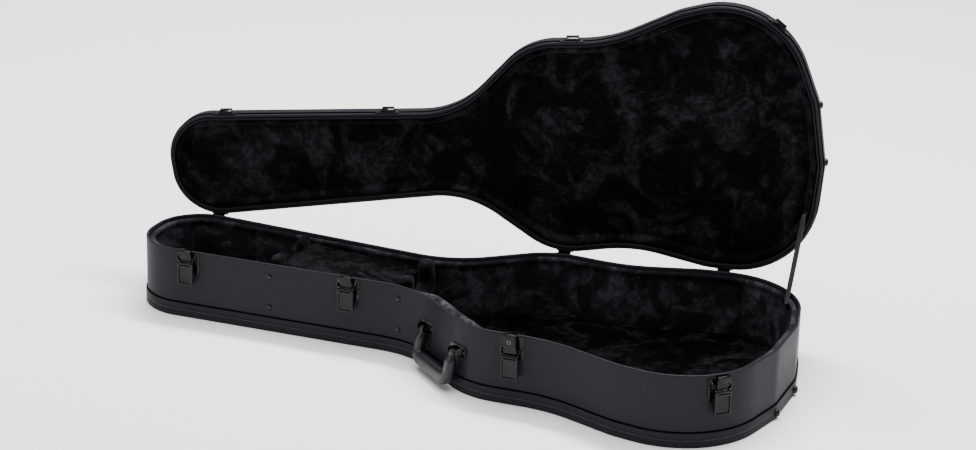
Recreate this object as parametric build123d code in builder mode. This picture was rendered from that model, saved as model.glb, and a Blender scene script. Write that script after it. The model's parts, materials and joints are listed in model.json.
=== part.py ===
from build123d import *
import os
from math import cos, radians, sin

# Hard case for an acoustic guitar, standing on its flat bottom with the lid open.
# Frame: +X runs from the head end to the tail, -Y is the side with the latches and
# the handle, +Z is up. The origin is on the underside, half-way along the case.

# ---- driving dimensions, millimetres ----------------------------------------
length = 1105.0
base_height = 117.0          # underside to the rim of the base
lid_depth = 24.5             # rim of the lid to its outside
rim_gap = 0.5                # between the two rims when the case is shut
wall = 5.0                   # covered plywood side
board = 4.0                  # bottom and lid boards
band_proud = 2.0             # stitched band round the outer edges
base_band = 23.8
lid_band = 17.5
lining = 8.0                 # plush and padding on the sides
floor_pad = 7.0
lid_pad = 6.0
tongue_gap = 0.8             # between the lid's side and its tongue
tongue = 3.0
tongue_reach = 1.2           # how far the tongue drops into the base

# Corners of half the plan outline, from the head end: along, half width, radius
outline_corners = [
    (0.0, 48.0, 76.0),
    (55.0, 89.0, 80.0),
    (512.0, 70.0, 158.0),
    (645.0, 182.0, 118.0),
    (780.0, 175.0, 240.0),
    (899.0, 215.5, 141.0),
    (1062.0, 240.0, 137.0),
    (length, 52.0, 66.0),
]

# Hinges: the pin line is straight and skewed, clear of the back of the case
hinge_places = [69.0, 664.0, 927.0]
hinge_slope = 0.1554
hinge_offset = 79.5          # sideways place of the pin line at the head end
hinge_height = base_height - 5.5
hinge_width = 28.0
hinge_pin_r = 1.5
knuckle_r = 3.0
leaf = 1.3
open_angle = 89.1            # the stay strap stops the lid here

# Latches: along, half width there, drop below the rim, height of the claw pin
latches = [
    (110.0, 87.0, 0.0, 99.0),
    (394.0, 75.0, 0.0, 99.0),
    (720.0, 178.0, 0.0, 84.0),
    (1054.0, 182.0, 4.0, 93.0),
]
lock_latch = 3               # the third latch has the key lock
latch_plate = (40.0, 38.5)
latch_top = base_height - 1.5
plate_t = 1.2
lever_w = 27.2
lever_drop = 38.0            # claw pin to the lever's lower end
claw_w = 19.0
claw_out = 11.0              # claw pin to the wall
lever_out = 5.5              # lever pin to the wall
lever_rise = 7.0             # lever pin above the claw pin
lever_pin_r = 1.5
claw_pin_r = 1.3
running = 0.06               # radial clearance of a turning fit
lock_box = 20.0
lock_r = 4.3
keeper_lift, keeper_t = 0.12, 1.0
keeper_box = 10.5            # half the width of a keeper's box

# Handle
handle_place = (584.0, 130.6)
handle_reach = 53.0          # bracket to the middle of the handle
handle_pin_z = 67.0
handle_pin_out = 9.0
handle_pin_r = 2.0

# Neck partitions and the compartment between them
head_partition = 254.5
neck_partition = 481.0
partition_t = (14.0, 22.0)
partition_top = 124.0
compartment_lid_ends = (264.0, 463.0)
compartment_lid_tops = (109.0, 93.0)
compartment_lid_t = 7.0

os.makedirs("parts", exist_ok=True)


def along(distance):
    """X of a place measured from the head end."""
    return distance - length / 2


def save(piece, name):
    """Label a finished piece and write it under its own name."""
    piece.part.label = name
    export_step(piece.part, f"parts/{name}.step")


# ---- plan outline --------------------------------------------------------------
def plan(out=0.0):
    """Plan of the case, moved outwards by out, as a flat sketch."""
    up = Vector(0, 0, 1)
    corners = [Vector(along(a), w) for a, w, _ in outline_corners]
    first, last = Vector(along(0), 0), Vector(along(length), 0)
    sides = [(b - a).normalized() for a, b in zip([first, *corners], [*corners, last])]
    moved, radii = [], []
    for corner, before, after, (_, _, radius) in zip(corners, sides, sides[1:], outline_corners):
        across = up.cross(before + after).normalized()
        moved.append(corner + across * (out / across.dot(up.cross(before))))
        convex = before.cross(after).Z < 0
        radii.append(radius + out if convex else radius - out)
    with BuildSketch() as outline:
        with BuildLine():
            FilletPolyline(first - Vector(out, 0), *moved, last + Vector(out, 0), radius=radii)
            mirror(about=Plane.XZ)
        make_face()
    return outline.sketch


outer = plan()
rim = outer.face().outer_wire()
case_block = extrude(outer, amount=base_height)


def seat(place, half_width, side=-1):
    """Nearest point of the side wall to a place, and the outward direction there."""
    near = Vertex(along(place), side * half_width, 0)
    edge = min(rim.edges(), key=lambda e: e.distance_to(near))
    foot, _ = edge.closest_points(near)
    out = edge.tangent_at(edge.param_at_point(foot)).cross(Vector(0, 0, 1))
    if out.dot(foot - Vector(foot.X * 0.8, 0, 0)) < 0:
        out = -out
    return foot, out


# ---- the open lid's place -------------------------------------------------------
hinge_direction = Vector(1, hinge_slope, 0).normalized()
hinge_start = Vector(along(0), hinge_offset, hinge_height)
hinge_frame = Plane(origin=hinge_start, x_dir=hinge_direction, z_dir=(0, 0, 1))
opening = hinge_frame.location * Rot(X=-open_angle) * hinge_frame.location.inverse()


def in_lid(plane):
    """A plane given for the shut case, carried round the hinges with the lid."""
    return Plane(opening * plane.location)


def level(height):
    """Level plane at a height above the underside."""
    return Plane.XY.offset(height)


def section_plane(foot, out):
    """Upright plane square to the wall: local x points out of the case, y up."""
    return Plane(origin=foot, x_dir=out, z_dir=out.cross(Vector(0, 0, 1)))


def wall_plane(foot, out, height=0.0, proud=0.0):
    """Upright plane along the wall: local z points out of the case, y up."""
    origin = foot + out * proud + Vector(0, 0, height)
    return Plane(origin=origin, x_dir=Vector(0, 0, 1).cross(out), z_dir=out)


def ring(plane, out, inside, depth):
    """Band between two offsets of the plan outline, raised from a plane."""
    with BuildPart() as piece:
        with BuildSketch(plane):
            add(plan(out))
            add(plan(inside), mode=Mode.SUBTRACT)
        extrude(amount=depth)
    return piece


def sheet(plane, out, depth):
    """Board of the plan outline, raised from a plane."""
    with BuildPart() as piece:
        with BuildSketch(plane):
            add(plan(out))
        extrude(amount=depth)
    return piece


def dome_heads(planes, radius, height):
    """Dome-headed rivets, one standing on each plane."""
    with BuildPart() as heads:
        for plane in planes:
            with BuildSketch(Plane(origin=plane.origin, x_dir=plane.x_dir, z_dir=-plane.y_dir)):
                with BuildLine():
                    Line((0, 0), (radius, 0))
                    Spline((radius, 0), (0.75 * radius, 0.75 * height), (0, height),
                           tangents=[(0, 1), (-1, 0)])
                    Line((0, height), (0, 0))
                make_face()
            revolve(axis=Axis(plane.origin, plane.z_dir))
    return heads


# ---- shell -----------------------------------------------------------------------
save(sheet(level(0), 0.0, board), "base_bottom")
save(ring(level(board), 0.0, -wall, base_height - board), "base_wall")
save(ring(level(0), band_proud, 0.0, base_band), "base_band")

lid_rim = base_height + rim_gap
lid_top = lid_rim + lid_depth
lid_board = lid_top - board
save(ring(in_lid(level(lid_rim)), 0.0, -wall, lid_board - lid_rim), "lid_wall")
save(sheet(in_lid(level(lid_board)), 0.0, board), "lid_board")
save(ring(in_lid(level(lid_top - lid_band)), band_proud, 0.0, lid_band), "lid_band")
tongue_out = -wall - tongue_gap
tongue_low = lid_rim - tongue_reach
save(ring(in_lid(level(tongue_low)), tongue_out, tongue_out - tongue, lid_board - tongue_low),
     "lid_tongue")

# ---- lining ----------------------------------------------------------------------
lining_face = -wall - lining
lining_top = base_height - 7.5
floor_top = board + floor_pad
save(sheet(level(board), -wall - 0.2, floor_pad), "base_floor_lining")
save(ring(level(floor_top), -wall - 0.2, lining_face, lining_top - floor_top),
     "base_side_lining")

lid_lining_out = tongue_out - tongue - 0.2
lid_lining_in = lid_lining_out - 3.6
lid_lining_low = lid_rim + 1.0
with BuildPart() as lid_lining:
    with BuildSketch(in_lid(level(lid_lining_low))):
        add(plan(lid_lining_out))
    extrude(amount=lid_board - lid_lining_low)
    with BuildSketch(in_lid(level(lid_lining_low))):
        add(plan(lid_lining_in))
    extrude(amount=lid_board - lid_pad - lid_lining_low, mode=Mode.SUBTRACT)
save(lid_lining, "lid_lining")


# ---- neck partitions and compartment ----------------------------------------------
def inner_half(place):
    """Half the clear width between the linings on the straight neck."""
    (a0, w0, _), (a1, w1, _) = outline_corners[1], outline_corners[2]
    return w0 + (w1 - w0) * (place - a0) / (a1 - a0) + lining_face - 0.3


def partition(place, thickness, notch_half, notch_floor):
    """Padded cross wall with a notch in its top edge."""
    half = inner_half(place + thickness / 2)
    with BuildPart() as piece:
        with BuildSketch(Plane.YZ.offset(along(place) - thickness / 2)):
            with BuildLine():
                Polyline((-half, floor_top), (-half, partition_top),
                         (-notch_half, partition_top), (-notch_half, notch_floor),
                         (notch_half, notch_floor), (notch_half, partition_top),
                         (half, partition_top), (half, floor_top), close=True)
            make_face()
            fillet(vertices().group_by(Axis.Y)[-1], radius=9.0)
            fillet(vertices().filter_by_position(Axis.Y, notch_floor, notch_floor), radius=12.0)
        extrude(amount=thickness)
    return piece


save(partition(head_partition, partition_t[0], 30.0, 99.0), "head_partition")
save(partition(neck_partition, partition_t[1], 28.0, 84.0), "neck_partition")

# The compartment lid slopes down to the body and turns on its front top edge.
lid_a, lid_b = compartment_lid_ends
half_a, half_b = inner_half(lid_a) - 1.0, inner_half(lid_b) - 1.0
top_a, top_b = compartment_lid_tops
compartment_run = (Vector(along(lid_b), 0, top_b) - Vector(along(lid_a), 0, top_a)).normalized()
compartment_plane = Plane(origin=(along(lid_a), 0, top_a), x_dir=compartment_run,
                          z_dir=compartment_run.cross(Vector(0, 1, 0)))
compartment_length = (lid_b - lid_a) / compartment_run.X
with BuildPart() as compartment_lid:
    with BuildSketch(compartment_plane):
        with BuildLine():
            Polyline((0, -half_a), (compartment_length, -half_b), (compartment_length, half_b),
                     (0, half_a), close=True)
        make_face()
    extrude(amount=-compartment_lid_t)
    back_edge = compartment_lid.edges().filter_by(GeomType.LINE).sort_by(Axis.Y)[-2:]
    fillet(back_edge.sort_by(Axis.Z)[-1], radius=3.0)
save(compartment_lid, "compartment_lid")

tab_place, tab_size = 38.0, (24.0, 2.0, 15.0)
with BuildPart() as compartment_tab:
    with BuildSketch(compartment_plane):
        with Locations((tab_place, half_a - 10.0)):
            Rectangle(tab_size[0], tab_size[1])
    extrude(amount=tab_size[2] - 5.0)
save(compartment_tab, "compartment_pull_tab")

# ---- compartment rivets on the outside of both neck walls --------------------------
partition_rivets = []
for place in (head_partition, neck_partition + 3.0):
    for side in (-1, 1):
        foot, out = seat(place, inner_half(place), side)
        for height in (42.0, 95.0):
            partition_rivets.append(wall_plane(foot, out, height, 0.1))
save(dome_heads(partition_rivets, 5.0, 2.6), "partition_rivets")

# ---- tail feet: two domed studs on each band ---------------------------------------
foot_side, foot_r, foot_height = 48.0, 6.5, 5.5
base_feet, lid_feet = [], []
for side in (-1, 1):
    foot, out = seat(length, foot_side, side)
    base_feet.append(wall_plane(foot, out, 9.5, band_proud))
    lid_feet.append(in_lid(wall_plane(foot, out, lid_top - 10.0, band_proud)))
save(dome_heads(base_feet, foot_r, foot_height), "base_tail_feet")
save(dome_heads(lid_feet, foot_r, foot_height), "lid_tail_feet")

# ---- hinges --------------------------------------------------------------------------
hinge_across = Vector(0, 0, 1).cross(hinge_direction)


def hinge_point(place):
    """Middle of a hinge on the pin line."""
    return hinge_start + hinge_direction * (place / hinge_direction.X)


def wall_gap(place):
    """Distance from the pin line in to the side wall, the least across a hinge."""
    gaps = []
    for run in (-hinge_width / 2, -hinge_width / 4, 0, hinge_width / 4, hinge_width / 2):
        point = hinge_point(place) + hinge_direction * run
        gaps.append(rim.distance_to(Vertex(point.X, point.Y, 0)))
    return min(gaps) - 0.05


def hinge_section(place):
    """Plane across a hinge: local x points out of the case, y up, origin on the pin."""
    return Plane(origin=hinge_point(place), x_dir=hinge_across,
                 z_dir=hinge_across.cross(Vector(0, 0, 1)))


def hinge_leaf(plane, plate_x, plate_end, bend, knuckles, bore):
    """Leaf of a hinge: riveted plate, bent arms and knuckles round the pin."""
    with BuildPart() as piece:
        with BuildSketch(plane):
            with BuildLine():
                Polyline((plate_x, plate_end), (plate_x, bend))
            trace(line_width=leaf)
        extrude(amount=hinge_width / 2, both=True)
        for low, high in knuckles:
            middle = (low + high) / 2
            with BuildSketch(plane.offset(middle)):
                with BuildLine():
                    Polyline((plate_x, bend - 2.0 * (1 if bend > plate_end else -1)),
                             (plate_x, bend), (0, 0))
                trace(line_width=leaf)
                Circle(knuckle_r)
            extrude(amount=(high - low) / 2, both=True)
        with BuildSketch(plane):
            Circle(bore)
        extrude(amount=hinge_width, both=True, mode=Mode.SUBTRACT)
    return piece


middle_half, knuckle_gap = 10.5, 0.3
middle_knuckle = [(-middle_half, middle_half)]
outer_knuckles = [(-hinge_width / 2, -middle_half - knuckle_gap),
                  (middle_half + knuckle_gap, hinge_width / 2)]
base_hinge_rivets, lid_hinge_rivets, pin_planes = [], [], []
base_plate_drop, lid_plate_inset = 31.0, 2.0     # plates' ends below the rim and the lid top
rivet_side, lid_rivet_drop = 8.0, 9.0
base_plate_end, base_bend = base_height - base_plate_drop - hinge_height, -6.5
lid_plate_end = lid_top - lid_plate_inset - hinge_height
lid_bend = lid_top - lid_band + 0.8 - hinge_height
for number, place in enumerate(hinge_places, start=1):
    gap = wall_gap(place)
    plane = hinge_section(place)
    base_x = -gap + leaf / 2
    lid_x = -gap + band_proud + 0.05 + leaf / 2
    base_leaf = hinge_leaf(plane, base_x, base_plate_end, base_bend, outer_knuckles, hinge_pin_r)
    save(base_leaf, f"hinge_{number}_base_leaf")
    lid_leaf = hinge_leaf(in_lid(plane), lid_x, lid_plate_end, lid_bend, middle_knuckle,
                          hinge_pin_r + running)
    save(lid_leaf, f"hinge_{number}_lid_leaf")
    pin_planes.append(plane)
    for run, height in ((-rivet_side, -28.0), (rivet_side, -28.0), (0.0, -18.0)):
        origin = hinge_point(place) + hinge_direction * run + Vector(0, 0, height)
        face = Plane(origin=origin + hinge_across * (base_x + leaf / 2),
                     x_dir=-hinge_direction, z_dir=hinge_across)
        base_hinge_rivets.append(face)
    for run in (-rivet_side, rivet_side):
        height = lid_top - lid_rivet_drop - hinge_height
        origin = hinge_point(place) + hinge_direction * run + Vector(0, 0, height)
        face = Plane(origin=origin + hinge_across * (lid_x + leaf / 2),
                     x_dir=-hinge_direction, z_dir=hinge_across)
        lid_hinge_rivets.append(in_lid(face))

with BuildPart() as hinge_pins:
    for plane in pin_planes:
        with BuildSketch(plane):
            Circle(hinge_pin_r)
        extrude(amount=hinge_width / 2 + 0.4, both=True)
save(hinge_pins, "hinge_pins")
save(dome_heads(base_hinge_rivets, 2.2, 1.3), "base_hinge_rivets")
save(dome_heads(lid_hinge_rivets, 2.2, 1.3), "lid_hinge_rivets")


# ---- latches ---------------------------------------------------------------------------
def latch_base(section, face, top, pin_z):
    """Riveted plate with two cheeks that carry the lever's pin."""
    plate_w, plate_h = latch_plate
    lever_z = pin_z + lever_rise
    with BuildPart() as piece:
        with BuildSketch(face):
            with Locations((0, top - plate_h / 2)):
                Rectangle(plate_w, plate_h)
            fillet(vertices().group_by(Axis.Y)[0], radius=9.0)
            fillet(vertices().group_by(Axis.Y)[-1], radius=3.0)
        extrude(amount=plate_t)
        for side in (-1, 1):
            with BuildSketch(section.offset(side * 14.6)):
                with BuildLine():
                    Polyline((0.6, lever_z - 9.0), (plate_t, lever_z - 9.0),
                             (lever_out, lever_z - 4.0), (lever_out, lever_z + 4.0),
                             (plate_t, lever_z + 6.0), (0.6, lever_z + 6.0), close=True)
                make_face()
                with Locations((lever_out, lever_z)):
                    Circle(4.0)
            extrude(amount=0.6, both=True)
        with BuildSketch(section):
            with Locations((lever_out, lever_z)):
                Circle(lever_pin_r)
        extrude(amount=20.0, both=True, mode=Mode.SUBTRACT)
        add(case_block, mode=Mode.SUBTRACT)
    return piece


def latch_lever(section, face, pin_z, drop):
    """Finger lever: shallow tray with a raised rim, knuckles and side flanges."""
    lever_z = pin_z + lever_rise
    inner, outer_half = claw_w / 2 + 0.4, lever_w / 2
    tray_back, tray_front, tray_floor = 8.6, 12.8, 10.0
    tray_top = pin_z - 4.4
    tray_low = pin_z - drop
    with BuildPart() as piece:
        with BuildSketch(face.offset(tray_back)):
            with Locations((0, (tray_top + tray_low) / 2)):
                Rectangle(lever_w, tray_top - tray_low)
            fillet(vertices().group_by(Axis.Y)[0], radius=3.5)
        extrude(amount=tray_front - tray_back)
        with BuildSketch(face.offset(tray_floor)):
            with Locations((0, (tray_top + tray_low) / 2)):
                Rectangle(lever_w - 5.0, tray_top - tray_low - 5.0)
            fillet(vertices(), radius=2.0)
        extrude(amount=10.0, mode=Mode.SUBTRACT)
        for side in (-1, 1):
            middle = side * (inner + outer_half) / 2
            with BuildSketch(section.offset(middle)):
                with BuildLine():
                    Polyline((tray_back, tray_top - 1.0), (tray_front, tray_top - 1.0),
                             (claw_out + 3.3, pin_z), (claw_out - 3.3, pin_z), close=True)
                make_face()
                with Locations((claw_out, pin_z)):
                    Circle(3.4)
            extrude(amount=(outer_half - inner) / 2, both=True)
            with BuildSketch(section.offset(side * (outer_half - 0.6))):
                with BuildLine():
                    Polyline((claw_out, pin_z), (lever_out, lever_z))
                trace(line_width=6.0)
                with Locations((lever_out, lever_z)):
                    Circle(3.6)
            extrude(amount=0.6, both=True)
        with BuildSketch(section):
            with Locations((claw_out, pin_z)):
                Circle(claw_pin_r)
            with Locations((lever_out, lever_z)):
                Circle(lever_pin_r + running)
        extrude(amount=20.0, both=True, mode=Mode.SUBTRACT)
    return piece


def latch_claw(section, face, pin_z, top, lock_z=None):
    """Claw: knuckle, upright tongue, hooked cap, and the lock's box where it has one."""
    back, front = claw_out - 3.0, claw_out - 1.6
    with BuildPart() as piece:
        with BuildSketch(section):
            with BuildLine():
                Polyline((back, pin_z), (front, pin_z), (front, top - 9.0),
                         (claw_out + 1.4, top - 7.6), (claw_out + 1.4, top - 1.5),
                         (claw_out - 0.4, top), (lever_out - 2.0, top),
                         (lever_out - 2.0, top - 1.7), (back, top - 1.7), close=True)
            make_face()
            with Locations((claw_out, pin_z)):
                Circle(3.4)
        extrude(amount=claw_w / 2, both=True)
        with BuildSketch(section):
            with Locations((claw_out, pin_z)):
                Circle(claw_pin_r + running)
        extrude(amount=20.0, both=True, mode=Mode.SUBTRACT)
        if lock_z:
            with BuildSketch(face.offset(claw_out - 1.6)):
                with Locations((0, lock_z)):
                    RectangleRounded(lock_box, lock_box, 2.5)
            extrude(amount=6.5)
            with BuildSketch(face.offset(claw_out - 0.6)):
                with Locations((0, lock_z)):
                    Circle(lock_r)
            extrude(amount=20.0, mode=Mode.SUBTRACT)
    return piece


def claw_pin(section, height):
    """Pin that joins a claw to its lever."""
    with BuildPart() as piece:
        with BuildSketch(section):
            with Locations((claw_out, height)):
                Circle(claw_pin_r)
        extrude(amount=lever_w / 2 + 0.3, both=True)
    return piece


def keeper(section, face):
    """Catch on the lid: riveted ears and a ramped box for the claw."""
    low = lid_rim + 0.7
    band_low = lid_top - lid_band
    with BuildPart() as piece:
        with BuildSketch(face.offset(keeper_lift)):
            with Locations((0, (low + band_low - 0.3) / 2)):
                RectangleRounded(42.0, band_low - 0.3 - low, 2.5)
        extrude(amount=keeper_t)
        with BuildSketch(section):
            with BuildLine():
                Polyline((0.5, low + 4.0), (4.5, low + 4.0), (8.0, low + 14.5),
                         (band_proud + 0.05, low + 14.5), (band_proud + 0.05, band_low - 0.3),
                         (0.5, band_low - 0.3), close=True)
            make_face()
        extrude(amount=keeper_box, both=True)
    return piece


lever_pins, latch_rivets, keeper_rivets = [], [], []
for number, (place, half_width, drop, pin_z) in enumerate(latches, start=1):
    foot, out = seat(place, half_width)
    section, face = section_plane(foot, out), wall_plane(foot, out)
    top = latch_top - drop
    claw_top = base_height + 4.3 - drop
    save(latch_base(section, face, top, pin_z), f"latch_{number}_plate")
    save(latch_lever(section, face, pin_z, lever_drop), f"latch_{number}_lever")
    save(claw_pin(section, pin_z), f"latch_{number}_claw_pin")
    lock_z = claw_top - 11.5 if number == lock_latch else None
    claw = latch_claw(section, face, pin_z, claw_top, lock_z)
    if lock_z:
        with BuildPart() as lock_cylinder:
            with BuildSketch(face.offset(claw_out - 0.6)):
                with Locations((0, lock_z)):
                    Circle(lock_r - running)
            extrude(amount=6.0)
            with BuildSketch(face.offset(claw_out + 2.0)):
                with Locations((0, lock_z)):
                    Rectangle(1.4, 5.0)
            extrude(amount=20.0, mode=Mode.SUBTRACT)
        save(lock_cylinder, "lock_cylinder")
    save(claw, f"latch_{number}_claw")
    lever_pins.append((section, pin_z + lever_rise))
    for run, height in ((-17.4, top - 17.0), (17.4, top - 17.0), (-9.0, top - 35.0),
                        (9.0, top - 35.0)):
        latch_rivets.append(Plane(origin=face.origin + face.x_dir * run
                                  + Vector(0, 0, height) + out * plate_t,
                                  x_dir=face.x_dir, z_dir=out))
    save(keeper(in_lid(section), in_lid(face)), f"keeper_{number}")
    for run in (-16.5, 16.5):
        spot = Plane(origin=face.origin + face.x_dir * run + Vector(0, 0, lid_rim + 4.4)
                     + out * (keeper_lift + keeper_t), x_dir=face.x_dir, z_dir=out)
        keeper_rivets.append(in_lid(spot))

with BuildPart() as lever_pin_set:
    for section, height in lever_pins:
        with BuildSketch(section):
            with Locations((lever_out, height)):
                Circle(lever_pin_r)
        extrude(amount=15.2, both=True)
        for side in (-1, 1):
            with BuildSketch(section.offset(side * 15.7)):
                with Locations((lever_out, height)):
                    Circle(2.6)
            extrude(amount=0.5, both=True)
save(lever_pin_set, "latch_lever_pins")
save(dome_heads(latch_rivets, 2.0, 1.4), "latch_rivets")
save(dome_heads(keeper_rivets, 2.2, 1.3), "keeper_rivets")

# ---- handle -------------------------------------------------------------------------------
handle_foot, handle_normal = seat(*handle_place)
handle_run = Vector(0, 0, 1).cross(handle_normal)
bracket_rivets, handle_pin_spots = [], []
for number, side in enumerate((-1, 1), start=1):
    spot = handle_foot + handle_run * side * handle_reach
    foot, out = seat(spot.X + length / 2, -spot.Y)
    face = wall_plane(foot, out)
    section = Plane(origin=spot, x_dir=handle_normal, z_dir=-handle_run)
    with BuildPart() as bracket:
        with BuildSketch(face):
            with Locations((0, handle_pin_z + 1.0)):
                RectangleRounded(38.0, 17.0, 4.0)
        extrude(amount=1.4)
        for cheek in (-1, 1):
            with BuildSketch(section.offset(cheek * 8.7)):
                with Locations((handle_pin_out, handle_pin_z)):
                    Circle(5.2)
                with BuildLine():
                    Polyline((-3.0, handle_pin_z - 5.0), (handle_pin_out, handle_pin_z - 5.2),
                             (handle_pin_out, handle_pin_z + 5.2), (-3.0, handle_pin_z + 7.5),
                             close=True)
                make_face()
            extrude(amount=0.9, both=True)
        with BuildSketch(section):
            with Locations((handle_pin_out, handle_pin_z)):
                Circle(handle_pin_r)
        extrude(amount=20.0, both=True, mode=Mode.SUBTRACT)
        add(case_block, mode=Mode.SUBTRACT)
    save(bracket, f"handle_bracket_{number}")
    handle_pin_spots.append(section)
    for run in (-15.0, 15.0):
        bracket_rivets.append(Plane(origin=foot + face.x_dir * run
                                    + Vector(0, 0, handle_pin_z + 1.0) + out * 1.4,
                                    x_dir=face.x_dir, z_dir=out))

with BuildPart() as handle_pins:
    for section in handle_pin_spots:
        with BuildSketch(section):
            with Locations((handle_pin_out, handle_pin_z)):
                Circle(handle_pin_r)
        extrude(amount=10.3, both=True)
save(handle_pins, "handle_pins")
save(dome_heads(bracket_rivets, 2.6, 1.6), "handle_rivets")

# The grip hangs a little out from the wall, on legs that turn on the two pins.
grip_tilt = radians(17.0)
leg_run = Vector(0, 0, -1) * cos(grip_tilt) + handle_normal * sin(grip_tilt)
handle_axis_point = handle_foot + handle_normal * handle_pin_out + Vector(0, 0, handle_pin_z)
grip_plane = Plane(origin=handle_axis_point, x_dir=handle_run,
                   z_dir=handle_run.cross(leg_run))
grip_drop, grip_r, leg_w, leg_t = 53.0, 8.5, 14.0, 8.4
with BuildPart() as handle_grip:
    with BuildLine(grip_plane):
        FilletPolyline((-handle_reach, 0), (-handle_reach, grip_drop),
                       (handle_reach, grip_drop), (handle_reach, 0), radius=16.0)
    with BuildSketch(Plane(origin=grip_plane.from_local_coords((-handle_reach, 0)),
                           x_dir=handle_run, z_dir=leg_run)):
        RectangleRounded(leg_w, leg_t, 3.5)
    sweep()
    with BuildSketch(Plane(origin=handle_axis_point + leg_run * grip_drop,
                           x_dir=leg_run, z_dir=handle_run)):
        Ellipse(grip_r, grip_r - 1.0)
    extrude(amount=handle_reach - 14.0, both=True)
    for section in handle_pin_spots:
        with BuildSketch(section):
            with Locations((handle_pin_out, handle_pin_z)):
                Circle(leg_t / 2)
        extrude(amount=leg_w / 2, both=True)
        with BuildSketch(section):
            with Locations((handle_pin_out, handle_pin_z)):
                Circle(handle_pin_r + running)
        extrude(amount=12.0, both=True, mode=Mode.SUBTRACT)
save(handle_grip, "handle_grip")

# ---- stay strap ------------------------------------------------------------------------------
# The flat strap runs from a stud inside the base, by the tail, to one inside the lid.
strap_w, strap_t = 8.0, 1.2
strap_low_in, strap_low_z = 16.5, 105.0          # inside the outline, above the floor
strap_high_in, strap_high_rise = 17.5, 1.0       # inside the outline, above the lid's rim
stud_r = 4.5
base_stud_in, base_stud_z, base_stud_depth = 13.2, 101.0, 2.3
lid_stud_in, lid_stud_rise, lid_stud_depth = 12.9, 5.6, 4.0
stay_foot, stay_out = seat(1066.0, 164.0, 1)
lid_stay_foot, lid_stay_out = seat(1084.0, 136.0, 1)
stay_low = stay_foot - stay_out * strap_low_in + Vector(0, 0, strap_low_z)
stay_high_shut = (lid_stay_foot - lid_stay_out * strap_high_in
                  + Vector(0, 0, lid_rim + strap_high_rise))
stay_high = (opening * Pos(*stay_high_shut)).position
stay_run = (stay_high - stay_low).normalized()
stay_face = stay_run.cross(stay_out.cross(Vector(0, 0, 1))).normalized()
with BuildPart() as stay_strap:
    with BuildSketch(Plane(origin=stay_low, x_dir=stay_face.cross(stay_run), z_dir=stay_run)):
        Rectangle(strap_w, strap_t)
    extrude(amount=(stay_high - stay_low).length)
save(stay_strap, "stay_strap")


def stud(plane, depth):
    """Stud that holds one end of the stay strap."""
    with BuildPart() as piece:
        with BuildSketch(plane):
            Circle(stud_r)
        extrude(amount=depth)
    return piece


base_stud = Plane(origin=stay_foot - stay_out * base_stud_in + Vector(0, 0, base_stud_z),
                  z_dir=-stay_out)
lid_stud = Plane(origin=lid_stay_foot - lid_stay_out * lid_stud_in
                 + Vector(0, 0, lid_rim + lid_stud_rise), z_dir=-lid_stay_out)
save(stud(base_stud, base_stud_depth), "stay_base_stud")
save(stud(in_lid(lid_stud), lid_stud_depth), "stay_lid_stud")
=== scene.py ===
import json
import math
from bisect import bisect_left

import bpy
from bpy.props import FloatProperty, FloatVectorProperty, PointerProperty
from mathutils import Matrix, Vector, noise


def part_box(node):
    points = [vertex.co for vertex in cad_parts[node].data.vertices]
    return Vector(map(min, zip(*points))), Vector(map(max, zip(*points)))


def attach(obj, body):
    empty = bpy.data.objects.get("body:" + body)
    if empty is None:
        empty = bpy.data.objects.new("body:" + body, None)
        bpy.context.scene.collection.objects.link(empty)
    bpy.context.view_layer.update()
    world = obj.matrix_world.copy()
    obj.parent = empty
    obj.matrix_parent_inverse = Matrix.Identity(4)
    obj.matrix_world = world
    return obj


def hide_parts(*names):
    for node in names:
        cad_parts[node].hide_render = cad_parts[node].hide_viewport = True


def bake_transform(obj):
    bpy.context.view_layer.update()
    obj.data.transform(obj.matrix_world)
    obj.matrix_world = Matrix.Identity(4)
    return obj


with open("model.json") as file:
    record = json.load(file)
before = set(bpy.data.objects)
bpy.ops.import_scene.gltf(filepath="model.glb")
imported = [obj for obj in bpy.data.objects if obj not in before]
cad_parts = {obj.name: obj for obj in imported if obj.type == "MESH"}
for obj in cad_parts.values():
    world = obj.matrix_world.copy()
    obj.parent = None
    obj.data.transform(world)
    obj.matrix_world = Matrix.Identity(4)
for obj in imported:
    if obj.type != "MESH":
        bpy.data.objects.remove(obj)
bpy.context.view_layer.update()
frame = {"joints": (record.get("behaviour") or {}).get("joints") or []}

bl_info = {
    "name": "Guitar case",
    "version": (1, 0),
    "blender": (4, 5, 0),
    "location": "3D View > Sidebar > Guitar case",
    "description": "Covers, lines and furnishes the packed frame of a hard guitar case",
    "category": "Object",
}

# ---- sizes that the frame gives ----------------------------------------------------
MM = 0.001
BASE_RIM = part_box("base_wall")[1].z
LENGTH = 1105 * MM
LID_RIM = BASE_RIM + 0.5 * MM
LID_TOP = LID_RIM + 24.5 * MM
LID_BOARD = LID_TOP - 4 * MM
LID_PANEL = LID_BOARD - 6 * MM
FLOOR_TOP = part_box("base_floor_lining")[1].z
BASE_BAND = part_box("base_band")[1].z
LID_BAND = 17.5 * MM
HEAD_END = -LENGTH / 2

# Corners of half the plan outline: distance from the head end, half width, radius
OUTLINE_CORNERS = [
    (0.0, 48.0, 76.0),
    (55.0, 89.0, 80.0),
    (512.0, 70.0, 158.0),
    (645.0, 182.0, 118.0),
    (780.0, 175.0, 240.0),
    (899.0, 215.5, 141.0),
    (1062.0, 240.0, 137.0),
    (1105.0, 52.0, 66.0),
]

LATCHES = (1, 2, 3, 4)
JOINTS = {joint["name"]: joint for joint in frame["joints"]}


def hinge_matrix(name, degrees):
    """Turn about a joint's axis."""
    joint = JOINTS[name]
    place = Matrix.Translation(joint["pos_m"])
    turn = Matrix.Rotation(math.radians(degrees), 4, Vector(joint["axis"]))
    return place @ turn @ place.inverted()


LID_OPENING = hinge_matrix("lid_hinge", -JOINTS["lid_hinge"]["range_deg"][1])


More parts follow.
